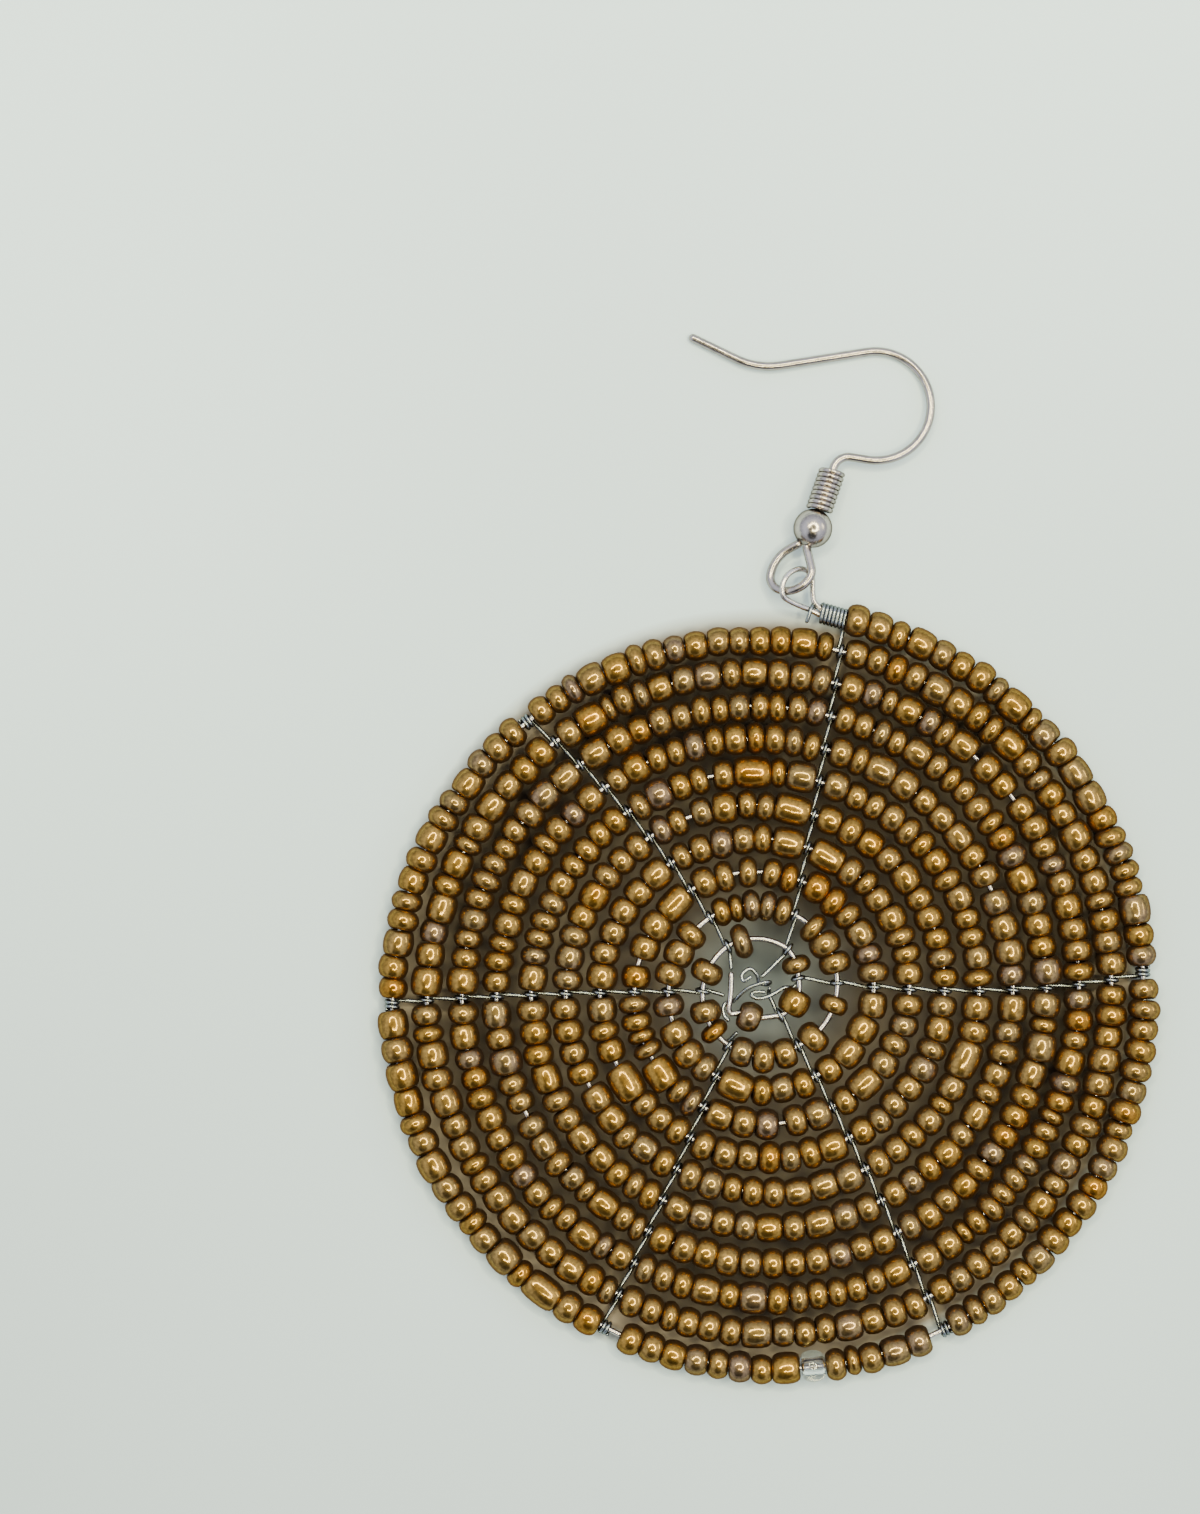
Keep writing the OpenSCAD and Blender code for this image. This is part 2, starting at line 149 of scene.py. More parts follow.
# The room's ceiling is bright and bluish. It is dark right above, where the
# camera is held, and on the near side
sky = world.node_tree
direction = add_node(sky, "ShaderNodeTexCoord", "Generated")
height = add_node(sky, "ShaderNodeSeparateXYZ", "Z", in0=direction)
levels = sky.nodes.new("ShaderNodeValToRGB")
link_value(sky, levels.inputs[0], height)
ROOM_LEVELS = [(0.0, 0.42), (0.20, 0.56), (0.45, 0.88), (0.65, 1.12), (0.80, 1.00),
               (0.90, 0.08), (1.0, 0.04)]
ROOM_TINT = np.array([0.90, 0.98, 1.16])
for sine, level in ROOM_LEVELS[1:-1]:
    levels.color_ramp.elements.new(sine)
for stop, (sine, level) in zip(levels.color_ramp.elements, ROOM_LEVELS):
    stop.position, stop.color = sine, (*level * ROOM_TINT, 1)
NEAR_SIDE = (-0.10, -0.72, 0.69)
ROOM_STRENGTH = 1.32
towards = add_node(sky, "ShaderNodeVectorMath", "Value", operation="DOT_PRODUCT",
                   in0=direction, in1=NEAR_SIDE)
near_shade = add_node(sky, "ShaderNodeMapRange", 0, in0=towards, in1=0.84, in2=0.93,
                      in3=1.0, in4=0.04)
link_value(sky, sky.nodes["Background"].inputs[0],
           add_node(sky, "ShaderNodeMix", "Result", data_type="RGBA", blend_type="MULTIPLY",
                    in0=1.0, in6=levels.outputs[0], in7=near_shade))
sky.nodes["Background"].inputs[1].default_value = ROOM_STRENGTH
LIGHT_TINT = (1.0, 0.92, 0.55)


def add_light(name, azimuth, polar, size, radiance, distance=0.9):
    """A flat light that faces the earring from an azimuth, counted from X to Y,
    and a polar angle from straight up. Its size is in degrees round and away
    from straight up, and its power is pi times radiance times area."""
    data = bpy.data.lights.new(name, "AREA")
    data.shape = "RECTANGLE"
    data.size, data.size_y = (2 * distance * np.tan(np.radians(s) / 2) for s in size)
    data.energy = np.pi * radiance * data.size * data.size_y
    data.color = LIGHT_TINT
    light = bpy.data.objects.new(name, data)
    a, b = np.radians([azimuth, polar])
    light.location = (distance * np.sin(b) * np.cos(a), distance * np.sin(b) * np.sin(a),
                      distance * np.cos(b))
    light.rotation_euler = (-light.location).to_track_quat("-Z", "Y").to_euler()
    bpy.context.collection.objects.link(light)


# A ring lamp round the camera, open on the near side, and a narrow window to
# the right. Each part of the ring has its azimuth and its polar angle
LAMP = [(150, 25), (120, 26), (90, 27), (60, 27), (30, 26), (0, 25), (-30, 23), (-62, 19),
        (-100, 15)]
LAMP_ARC = 32
LAMP_WIDTH = 4
LAMP_RADIANCE = 50.0
WINDOW_RADIANCE = 10.0
for number, (azimuth, polar) in enumerate(LAMP):
    add_light(f"lamp_{number + 1}", azimuth, polar,
              (LAMP_ARC * np.sin(np.radians(polar)), LAMP_WIDTH), LAMP_RADIANCE)
add_light("window", 10, 60, (26, 5), WINDOW_RADIANCE)

camera = bpy.data.objects.new("camera", bpy.data.cameras.new("camera"))
camera.data.sensor_fit = "VERTICAL"
camera.data.sensor_height = SENSOR
camera.data.lens = LENS
view_height = PHOTO_HEIGHT / PIXELS_PER_MM * MM
camera.location = (*VIEW_CENTRE, BEAD_MIDDLE + view_height * LENS / SENSOR)
bpy.context.collection.objects.link(camera)
bpy.context.scene.camera = camera


# ---- The core wire ----------------------------------------------------------
# One length of bright steel wire, 0.43 mm thick, carries all the beads. Its
# outer end is bent into the hanging loop, then it winds inwards in a flat
# spiral of eleven rows, and its inner end turns up in a small hook.

DISC_AT = np.array([-0.30, -10.47])
CORE_D = 0.43
CORE_SIDES = 10
TIE_D = 0.30
TIE_SIDES = 8
# Air between a wire and what goes round it
WIRE_AIR = 0.04
# Points on each stretch between two ribs, and between two points of a curve
ARC_STEPS = 20
CURVE_STEPS = 6
ROWS = 11
# The wire leaves the spiral at this crossing
LAST_CROSSING = 62

# Each rib crosses the rows at a bearing, clockwise from straight up. The rows'
# distance changes a little inwards, and the rib leans to its clockwise side by
# three amounts: at the rim, halfway and at the hub.
RIB_BEARING = np.array([15.0, 88.0, 151.0, 206.5, 269.5, 322.0])
RIM_RADIUS = np.array([29.5, 29.2, 29.3, 28.4, 28.6, 27.7])
ROW_PITCH = np.array([2.50, 2.43, 2.77, 2.73, 2.69, 2.55])
PITCH_GROWTH = np.array([0.006, 0.020, -0.005, -0.012, -0.004, 0.002])
LEAN_RIM = np.array([-1.40, -0.50, 0.50, -0.35, -0.40, -1.30])
LEAN_HALF = np.array([-0.10, 0.35, -0.30, 0.00, 0.15, 0.50])
LEAN_HUB = np.array([0.90, -1.10, -0.30, 0.90, 0.20, -0.30])

OUTER_LOOP = np.array([
    [3.9, 30.1, 0.018], [3.77, 30.6, 0.027], [3.74, 31.25, 0.045], [3.72, 31.9, 0.073],
    [3.4, 32.45, 0.181], [2.95, 32.65, 0.363], [2.35, 32.55, 0.655], [1.82, 32.2, 0.915],
    [1.48, 31.65, 1.085], [1.35, 31.05, 1.135], [1.48, 30.5, 1.015], [2, 30.15, 0.735],
    [2.8, 29.8, 0.363], [3.6, 29.5, 0.109]])
INNER_HOOK = np.array([
    [-0.1, -1.84, 0], [-0.55, -1.88, 0], [-1.12, -1.76, 0], [-1.75, -1.5, 0.02],
    [-2.2, -1.52, 0.06], [-2.55, -1.5, 0.12], [-2.7, -1.15, 0.2], [-2.62, -0.5, 0.28],
    [-2.54, 0.4, 0.3], [-2.52, 1.5, 0.25]])
BINDING_FROM = np.array([4.42, 29.30, 0])
BINDING_TO = np.array([6.27, 28.77, 0])
BINDING_WAY = (BINDING_TO - BINDING_FROM) / np.linalg.norm(BINDING_TO - BINDING_FROM)
BINDING_ACROSS = np.array([-BINDING_WAY[1], BINDING_WAY[0], 0])
WIRE_SHIFT = CORE_D / 2 + 0.015


def unit(vectors):
    """Each vector divided by its length."""
    return vectors / np.linalg.norm(vectors, axis=-1, keepdims=True)


def at_bearing(radius, bearing):
    """The point radius (sin b, cos b) of the disc's plane."""
    bearing = np.radians(bearing)
    return np.stack([radius * np.sin(bearing), radius * np.cos(bearing)], -1)


def flat(points):
    """Points of the disc's plane with height 0 added."""
    return np.concatenate([points, np.zeros(points.shape[:-1] + (1,))], -1)


def lean_at(rib, row):
    """The rib's lean: the parabola in the row number through its three amounts,
    at rows 0, 5 and 10."""
    middle = (ROWS - 1) / 2
    bow = (LEAN_HUB - 2 * LEAN_HALF + LEAN_RIM)[rib] / (2 * middle ** 2)
    slope = (LEAN_HALF - LEAN_RIM)[rib] / middle - bow * middle
    return LEAN_RIM[rib] + slope * row + bow * row ** 2


# Crossing j is on rib j mod 6 in row j // 6. Its radius is rim - pitch row -
# growth row^2, and its bearing is the rib's, turned by asin(lean / radius).
crossings = np.arange(6 * (ROWS - 1) + 4)
row_of, rib_of = np.divmod(crossings, 6)
cross_radius = (RIM_RADIUS[rib_of] - ROW_PITCH[rib_of] * row_of
                - PITCH_GROWTH[rib_of] * row_of ** 2)
cross_bearing = (RIB_BEARING[rib_of] + 360 * row_of
                 + np.degrees(np.arcsin(lean_at(rib_of, row_of) / cross_radius)))
cross_at = at_bearing(cross_radius, cross_bearing)

# From each crossing to the next the wire is an arc of a circle through both
# and through the spiral's mean point between them
mean_at = at_bearing((cross_radius[:-1] + cross_radius[1:]) / 2,
                     (cross_bearing[:-1] + cross_bearing[1:]) / 2)
chord, rise = cross_at[1:] - cross_at[:-1], mean_at - cross_at[:-1]
chord2, rise2 = (chord ** 2).sum(1), (rise ** 2).sum(1)
twice = 2 * (chord[:, 0] * rise[:, 1] - chord[:, 1] * rise[:, 0])
offset = np.stack([rise[:, 1] * chord2 - chord[:, 1] * rise2,
                   chord[:, 0] * rise2 - rise[:, 0] * chord2], 1) / twice[:, None]
arc_centre = cross_at[:-1] + offset
arc_radius = np.linalg.norm(offset, axis=1)


def bearing_round(centre, points):
    """The bearing of points as seen from a centre."""
    d = points - centre
    return np.degrees(np.arctan2(d[..., 0], d[..., 1]))


arc_from = bearing_round(arc_centre, cross_at[:-1])
arc_to = arc_from + (bearing_round(arc_centre, cross_at[1:]) - arc_from) % 360


def row_point(stretch, share):
    """Points of the wire on a stretch, at shares 0 to 1 of its arc."""
    bearing = arc_from[stretch] + (arc_to - arc_from)[stretch] * share
    return arc_centre[stretch] + at_bearing(arc_radius[stretch], bearing)


def curve_through(points, steps):
    """A smooth line through points: between b and c, with neighbours a and d, it
    is half of 2b + (c-a)t + (2a-5b+4c-d)t^2 + (3b-a-3c+d)t^3."""
    points = np.asarray(points, float)
    a, b, c, d = (np.concatenate([points[:1], points[:-2]]), points[:-1], points[1:],
                  np.concatenate([points[2:], points[-1:]]))
    a, b, c, d = (p[:, None] for p in (a, b, c, d))
    t = (np.arange(steps) / steps)[None, :, None]
    line = (2 * b + (c - a) * t + (2 * a - 5 * b + 4 * c - d) * t ** 2
            + (3 * b - a - 3 * c + d) * t ** 3) / 2
    return np.concatenate([line.reshape(-1, 3), points[-1:]])


def drawn_wire(path, diameter, sides, steady=(0.0, 0.0, 1.0)):
    """A wire's surface. With t along the path, n = steady x t and b = t x n, a
    ring is p + r (cos v n + sin v b), and on both ends r falls off as on a ball.
    Returns rings of points, numbers of rings by sides by 3."""
    path = np.asarray(path, float)
    r = diameter / 2
    t = unit(np.gradient(path, axis=0))
    steady = np.broadcast_to(np.asarray(steady, float), path.shape)
    dome = np.radians([80, 55, 25])
    path = np.concatenate([path[:1] - r * t[:1] * np.sin(dome)[:, None], path,
                           path[-1:] + r * t[-1:] * np.sin(dome[::-1])[:, None]])
    radius = np.concatenate([r * np.cos(dome), np.full(len(t), r), r * np.cos(dome[::-1])])
    steady = np.concatenate([steady[:1].repeat(3, 0), steady, steady[-1:].repeat(3, 0)])
    t = np.concatenate([t[:1].repeat(3, 0), t, t[-1:].repeat(3, 0)])
    n = unit(np.cross(steady, t))
    b = np.cross(t, n)
    v = (np.arange(sides) / sides * 2 * np.pi)[None, :, None]
    round_it = np.cos(v) * n[:, None] + np.sin(v) * b[:, None]
    return path[:, None] + radius[:, None, None] * round_it


def ring_faces(rings, sides, first=0):
    """Faces that join rings of points, and one face that closes each end."""
    i, k = np.meshgrid(np.arange(rings - 1), np.arange(sides), indexing="ij")
    a, b = first + i * sides + k, first + i * sides + (k + 1) % sides
    faces = np.stack([a, b, b + sides, a + sides], -1).reshape(-1, 4).tolist()
    ends = [first + np.arange(sides)[::-1], first + (rings - 1) * sides + np.arange(sides)]
    return faces + [end.tolist() for end in ends]


def add_piece(name, points, faces, finish, nodes):
    """Makes a smooth piece from points in metres. It rides on the earring and
    stands for CAD nodes."""
    mesh = bpy.data.meshes.new(name)
    mesh.from_pydata(np.asarray(points).reshape(-1, 3).tolist(), [], faces)
    mesh.polygons.foreach_set("use_smooth", np.ones(len(mesh.polygons), bool))
    mesh.materials.append(finish)
    piece = bpy.data.objects.new(name, mesh)
    bpy.context.collection.objects.link(piece)
    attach(piece, "root")
    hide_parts(*nodes)
    return piece


def on_table(points):
    """Millimetres from the disc's centre as metres on the table."""
    points = np.array(points, float)
    points[..., :2] += DISC_AT
    return points * MM + (0, 0, BEAD_MIDDLE)


def add_wires(name, wires, finish, nodes, place=on_table):
    """Makes one piece of several wires, each given as its rings of points."""
    faces, first = [], 0
    for wire in wires:
        faces += ring_faces(len(wire), wire.shape[1], first)
        first += wire.shape[0] * wire.shape[1]
    points = np.concatenate([wire.reshape(-1, 3) for wire in wires])
    return add_piece(name, place(points), faces, finish, nodes)


def bound_at(share, side):
    """A point of the core wire where it is bound: on the binding's middle line,
    moved to one side."""
    share = np.asarray(share, float)[:, None]
    return (BINDING_FROM * (1 - share) + BINDING_TO * share
            + side * WIRE_SHIFT * BINDING_ACROSS)


def add_metal(name, colour, roughness, streak, grey, edge):
    """A bare metal: its colour clouds towards a darker tint, and fine draw
    marks and specks change its gloss and its surface. Steep surfaces mirror
    less, by the factor edge."""
    finish, tree, shader = new_finish(name)
    place = add_node(tree, "ShaderNodeTexCoord", "Object")
    clouds = add_node(tree, "ShaderNodeTexNoise", 0, Scale=1400.0, Detail=3.0, Vector=place)
    marks = add_node(tree, "ShaderNodeTexNoise", 0, Scale=5200.0, Detail=2.0, Vector=place)
    spread = add_node(tree, "ShaderNodeMapRange", 0, in0=clouds, in1=0.35, in2=0.7)
    dull = tuple(c * grey for c in colour)
    link_value(tree, shader.inputs["Base Color"],
               add_node(tree, "ShaderNodeMix", "Result", data_type="RGBA", in0=spread,
                        in6=(*colour, 1), in7=(*dull, 1)))
    link_value(tree, shader.inputs["Roughness"],
               add_node(tree, "ShaderNodeMapRange", 0, in0=marks, in1=0.3, in2=0.7,
                        in3=roughness * 0.8, in4=roughness * 1.3))
    link_value(tree, shader.inputs["Normal"],
               add_node(tree, "ShaderNodeBump", 0, Strength=streak, Distance=0.00003,
                        Height=marks))
    shader.inputs["Metallic"].default_value = 1.0
    shader.inputs["Specular Tint"].default_value = (edge, edge, edge, 1)
    return finish


bright_steel = add_metal("bright_steel", (0.63, 0.59, 0.57), 0.23, 0.08, 0.72, 0.4)
loop_line = curve_through(np.concatenate([
    bound_at([0.75, 0.4, 0.05], 1), OUTER_LOOP, bound_at([0.1, 0.4, 0.7], -1)]), CURVE_STEPS)
shares = np.linspace(0, 1, ARC_STEPS, endpoint=False)
rows_line = flat(np.concatenate([row_point(j, shares) for j in range(LAST_CROSSING)]))
hook_line = curve_through(np.concatenate([flat(cross_at[[LAST_CROSSING]]), INNER_HOOK]),
                          CURVE_STEPS)
core_line = np.concatenate([loop_line, rows_line, hook_line])
add_wires("core_wire_bright", [drawn_wire(core_line, CORE_D, CORE_SIDES)], bright_steel,
          ["core_wire", "hanging_loop"])


# ---- The beads --------------------------------------------------------------
# Glass seed beads about 2.3 mm across, threaded on the core wire, with a
# fired bronze-gold lustre. They are cut from drawn tube, so lengths differ a
# lot, long ones keep square shoulders, and each sits a little askew.

# Bead lengths in millimetres by letter. A gap shows the bare core wire, and a
# capital is a bead a fifth thicker than the rest.
BEAD_LENGTHS = {"s": 1.35, "m": 1.72, "l": 2.15, "x": 3.0, "g": 0.5}
THICKER = 1.2

# One line for each stretch of a row between two ribs, from the rim inwards,
# read clockwise
BEAD_CHART = [
    ["mmslmmmslsmmllmsssslmm", "mmmmllmslmsmmlmmsmmm", "mmslmslgmmgmmmsmlmms",
     "mmsmlmsmmsmmlmlml", "msllmmlmmgmmlm", "lmmlmmlmlmmlm", "lmlllmmmmm", "xmmllmml",
     "lmmlmm"],
    ["msmmmmmsmmmmmmmsmmsm", "mmmlmmmmmmlsmmmmm", "mmmlmmsmmmmmmmsll", "msllmmmmslmmm",
     "lmmmmlmlmmm", "lmxmsmmmm", "mlmlmmmm", "mmmmlm", "mmmm"],
    ["", "mmmlmmmlmmmsmm", "lmmmmmmlmlmmm", "mmmmmmmmmmm", "mmlmlmmmm", "lllmmmmm",
     "lmmmllm", "mmgmmm", "mmmx", "mmm"],
    ["mmxslmsmmlmsllml", "smlmllmmslmlmlsm", "mslmslmmmmmmmlm", "smlsmmlmgmmlml",
     "mmmllmmlmlm", "mlmllgmmmm", "mmmxglml", "mmxgmsmm", "mllgm"],
    ["mmlmmmmlmmlmmm", "lmmlmlsmlmmm", "lmmmmmmmmmll", "mmsmmlmsmmm", "lmmmmlmmmm",
     "mlmmlmmm", "mmmmml", "mgmml"],
    ["mmsllsmmmmmmmls", "mlsmslllmlmmm", "llmmmmsmmmmm", "mlmmmmlmmmm", "mlmmgmxsl",
     "mmgmlmmx", "mlllmx", "lmgmgmm", "msmmm"]]
# Stretches that are beaded only between two bearings: sector, row, from, to and
# the beads
PART_ROWS = [
    (2, 0, 154.2, 170.5, "mlmsm"), (2, 0, 174.5, 202.8, "lmmmmmmm"),
    (4, 8, 275.0, 315.0, "mlm"), (0, 9, 31.0, 74.0, "mlm"), (1, 9, 92.0, 106.0, "m"),
    (1, 9, 122.0, 141.0, "m"), (3, 9, 226.0, 240.0, "m"), (3, 9, 243.0, 263.0, "x"),
    (4, 9, 281.0, 301.0, "m"), (5, 9, 328.0, 346.0, "L"), (0, 10, 39.0, 58.0, "l"),
    (1, 10, 85.0, 128.0, "l")]
# The last bead sits on the straight part of the inner hook, in this sector
LAST_BEAD_SECTOR = 3
LAST_BEAD_AT = np.array([-1.12, -1.80])
LAST_BEAD_TURN = np.radians(15)
LAST_BEAD_LENGTH = 1.7
BEAD_D = 2.34
HOLE_D = 0.9
# Room beside a rib, and more beside its turns at the rim. The binding ends right
# at the first bead
RIB_ROOM = 0.3
RIM_ROOM = 0.3
BINDING_ROOM = 0.05
BEAD_SIDES = 10
# How much beads differ: in length and thickness, as shares, in how oval they
# are and how their ends slant, in two turns in degrees, and in how far they sit
# beside the wire and above the table, in millimetres
LENGTH_SPREAD, THICKNESS_SPREAD = 0.06, 0.06
OVAL, END_SLANT = 0.03, 0.07
YAW, TIP = 5.5, 4.0
ASIDE, ABOVE = 0.09, 0.05

chance = np.random.default_rng(11)


def along_bearing(stretch, bearing):
    """The share of a stretch's arc at a bearing from the disc's centre."""
    turn = 360 * row_of[stretch]
    first, last = cross_bearing[stretch] - turn, cross_bearing[stretch + 1] - turn
    share = (bearing - first) / (last - first)
    radius = cross_radius[stretch] * (1 - share) + cross_radius[stretch + 1] * share
    seen = bearing_round(arc_centre[stretch], at_bearing(radius, bearing))
    return ((seen - arc_from[stretch]) % 360) / (arc_to - arc_from)[stretch]


def thread(stretch, low, high, letters):
    """Beads on one stretch from share low to share high of its arc: each bead's
    middle, its way along the wire, its length and its thickness. Lengths vary by
    a few hundredths, and all are then scaled to fill the stretch. The middles are
    the running sum of the lengths less half of each."""
    lengths = np.array([BEAD_LENGTHS[c.lower()] for c in letters])
    lengths = lengths * (1 + LENGTH_SPREAD
                         * chance.standard_normal(len(letters)).clip(-2, 2))
    room = (high - low) * np.radians((arc_to - arc_from)[stretch]) * arc_radius[stretch]
    lengths *= room / lengths.sum()
    middle = low + (high - low) * (np.cumsum(lengths) - lengths / 2) / room
    bearing = np.radians(arc_from[stretch] + (arc_to - arc_from)[stretch] * middle)
    bead = np.array([c != "g" for c in letters])
    way = np.stack([np.cos(bearing), -np.sin(bearing)], 1)
    thick = np.array([THICKER if c.isupper() else 1.0 for c in letters])
    return row_point(stretch, middle)[bead], way[bead], lengths[bead], BEAD_D * thick[bead]


def rib_room(crossing):
    """Room for a rib's wires beside a crossing. It grows with the rib's slant,
    by the slant times a quarter of a bead's thickness."""
    slant = (lean_at(rib_of[crossing], row_of[crossing] + 0.5)
             - lean_at(rib_of[crossing], row_of[crossing] - 0.5))
    return RIB_ROOM + abs(slant) / ROW_PITCH[rib_of[crossing]] * BEAD_D / 4


def threaded_beads(sector):
    """All beads between two ribs."""
    strings = []
    for row, letters in enumerate(BEAD_CHART[sector]):
        if letters:
            stretch = 6 * row + sector
            length = np.radians((arc_to - arc_from)[stretch]) * arc_radius[stretch]
            low = (rib_room(stretch) if stretch else BINDING_ROOM) / length
            high = 1 - (rib_room(stretch + 1) + (RIM_ROOM if row == 0 else 0)) / length
            strings.append(thread(stretch, low, high, letters))
    for of, row, start, stop, letters in PART_ROWS:
        if of == sector:
            stretch = 6 * row + sector
            strings.append(thread(stretch, along_bearing(stretch, start),
                                  along_bearing(stretch, stop), letters))
    if sector == LAST_BEAD_SECTOR:
        way = [np.cos(LAST_BEAD_TURN), -np.sin(LAST_BEAD_TURN)]
        strings.append((LAST_BEAD_AT[None], np.array([way]), np.array([LAST_BEAD_LENGTH]),
                        np.array([BEAD_D])))
    return [np.concatenate(part) for part in zip(*strings)]


def bead_surfaces(middle, way, length, thickness):
    """Rings of points round each bead's hole, as [bead, ring, side]. A bead is
    a closed profile of seven points turned round its hole: the radius is that
    of the profile, made slightly oval, and the ends are cut at a slant, so a
    point's place along the hole grows with its place across it. Short beads
    have round shoulders and long ones square shoulders. The rounding draws the
    surface in, so the profile is a little too large."""
    n = len(length)
    spread = chance.uniform(-1, 1, (11, n))
    square = np.clip((length - 1.5) / 0.9, 0, 1) * 0.8 + 0.25 * spread[0].clip(0, 1)
    radius = thickness / 2 * (1 + THICKNESS_SPREAD * spread[1] - 0.05 * (length < 1.25))
    hole = HOLE_D / 2
    h = 0.535 * length
    full_r = radius * (1.20 - 0.06 * square)
    shoulder_r = radius * (0.95 + 0.14 * square)
    shoulder_h = h * (0.70 + 0.18 * square)
    face_r = hole + (radius - hole) * 0.50
    profile_r = np.stack([np.full(n, hole), face_r, shoulder_r, full_r, shoulder_r, face_r,
                          np.full(n, hole)], 1)
    rim_h = 0.84 * h
    profile_h = np.stack([-rim_h, -h, -shoulder_h, 0 * h, shoulder_h, h, rim_h], 1)
    v = np.arange(BEAD_SIDES)[None] / BEAD_SIDES * 2 * np.pi + spread[10][:, None]
    oval = 1 + OVAL * spread[2][:, None] * np.cos(2 * v + 3 * spread[3][:, None])
    r = profile_r[:, :, None] * oval[:, None]
    side, up = r * np.cos(v)[:, None], r * np.sin(v)[:, None]
    sign = np.sign(profile_h)[:, :, None]
    slant = END_SLANT * (spread[4][:, None, None] * side + spread[5][:, None, None] * up)
    out = profile_h[:, :, None] + slant * (0.35 + 0.65 * (sign > 0)) * np.abs(sign)
    # The bead's own directions: along its hole, across it, and up, turned a
    # little flat on the table and a little out of it
    yaw = np.radians(YAW) * spread[6]
    tip = np.radians(TIP) * spread[7]
    across = np.stack([-way[:, 1], way[:, 0]], 1)
    turned = way * np.cos(yaw)[:, None] + across * np.sin(yaw)[:, None]
    x = np.concatenate([turned * np.cos(tip)[:, None], np.sin(tip)[:, None]], 1)
    y = unit(np.cross([0.0, 0.0, 1.0], x))
    z = np.cross(x, y)
    height = radius - BEAD_MIDDLE / MM + ABOVE * spread[9].clip(0, 1)
    place = np.concatenate([middle + across * (ASIDE * spread[8])[:, None],
                            height[:, None]], 1)
    points = (place[:, None, None] + out[..., None] * x[:, None, None]
              + side[..., None] * y[:, None, None] + up[..., None] * z[:, None, None])
    return points


# How near each of the profile's seven points is to the bead's ends
RING_ENDS = [1.0, 0.9, 0.35, 0.0, 0.35, 0.9, 1.0]


def bead_faces(count):
    """Faces of all beads: each joins ring to ring and side to side, and both
    run round, so every bead is closed through its hole."""
    rings = len(RING_ENDS)
    n, i, k = np.meshgrid(np.arange(count), np.arange(rings), np.arange(BEAD_SIDES),
                          indexing="ij")
    first = n * rings * BEAD_SIDES
    i2, k2 = (i + 1) % rings, (k + 1) % BEAD_SIDES
    corners = [first + i * BEAD_SIDES + k, first + i * BEAD_SIDES + k2,
               first + i2 * BEAD_SIDES + k2, first + i2 * BEAD_SIDES + k]
    return np.stack(corners, -1).reshape(-1, 4).tolist()


def add_beads(name, beads, finish, node):
    """One piece of many beads. Each point holds its bead's own number for the
    lustre, and how near it is to the bead's ends."""
    points = bead_surfaces(*beads)
    piece = add_piece(name, on_table(points), bead_faces(len(points)), finish, [node])
    shade = np.repeat(chance.uniform(0, 1, len(points)), len(RING_ENDS) * BEAD_SIDES)
    end = np.tile(np.repeat(RING_ENDS, BEAD_SIDES), len(points))
    for attribute, values in (("bead_number", shade), ("bead_end", end)):
        layer = piece.data.attributes.new(attribute, "FLOAT", "POINT")
        layer.data.foreach_set("value", values.astype(np.float32))
    rounding = piece.modifiers.new("rounding", "SUBSURF")
    rounding.levels = rounding.render_levels = 1
    return piece


lustre, tree, shader = new_finish("bronze_gold_lustre")
place = add_node(tree, "ShaderNodeTexCoord", "Object")
number = add_node(tree, "ShaderNodeAttribute", "Fac", attribute_name="bead_number")
end = add_node(tree, "ShaderNodeAttribute", "Fac", attribute_name="bead_end")
patches = add_node(tree, "ShaderNodeTexNoise", 0, Scale=700.0, Detail=3.0, Vector=place)
grain = add_node(tree, "ShaderNodeTexNoise", 0, Scale=4200.0, Detail=3.0, Vector=place)
dents = add_node(tree, "ShaderNodeTexNoise", 0, Scale=1500.0, Detail=1.5, Vector=place)
ramp = tree.nodes.new("ShaderNodeValToRGB")
link_value(tree, ramp.inputs[0],
           add_node(tree, "ShaderNodeMath", 0, operation="ADD", in0=number,
                    in1=add_node(tree, "ShaderNodeMapRange", 0, in0=patches, in1=0.3, in2=0.7,
                                 in3=-0.07, in4=0.07)))
stops = [(0.00, (0.330, 0.155, 0.022, 1)), (0.06, (0.312, 0.173, 0.033, 1)),
         (0.40, (0.304, 0.180, 0.046, 1)), (0.78, (0.286, 0.176, 0.052, 1)),
         (0.92, (0.254, 0.170, 0.065, 1)), (1.00, (0.238, 0.158, 0.088, 1))]
for place_on_ramp, colour in stops[1:-1]:
    ramp.color_ramp.elements.new(place_on_ramp)
for stop, (place_on_ramp, colour) in zip(ramp.color_ramp.elements, stops):
    stop.position, stop.color = place_on_ramp, colour
# The film is mottled. Its colour is painted dark brown on a bead's flanks, where
# the surface is steep, as painted shade, and at its ends partly as wear and partly
# as painted shade between the beads
mottled = add_node(tree, "ShaderNodeMix", "Result", data_type="RGBA", blend_type="MULTIPLY",
                   in0=1.0, in6=ramp.outputs[0],
                   in7=add_node(tree, "ShaderNodeMapRange", 0, in0=grain, in1=0.3, in2=0.7,
                                in3=0.62, in4=1.32))
facing_up = add_node(tree, "ShaderNodeSeparateXYZ", "Z",
                     in0=add_node(tree, "ShaderNodeTexCoord", "Normal"))
flank = add_node(tree, "ShaderNodeMapRange", 0, in0=facing_up, in1=0.82, in2=0.33, in3=0.0,
                 in4=1.0)
end_wear_and_shade = add_node(tree, "ShaderNodeMapRange", 0, in0=end, in1=0.4, in2=1.0, in3=0.0,
                    in4=0.55)
painted_shade_and_wear = add_node(tree, "ShaderNodeMath", 0, operation="MAXIMUM", in0=end_wear_and_shade,
                in1=add_node(tree, "ShaderNodeMath", 0, operation="MULTIPLY", in0=flank,
                             in1=0.80))
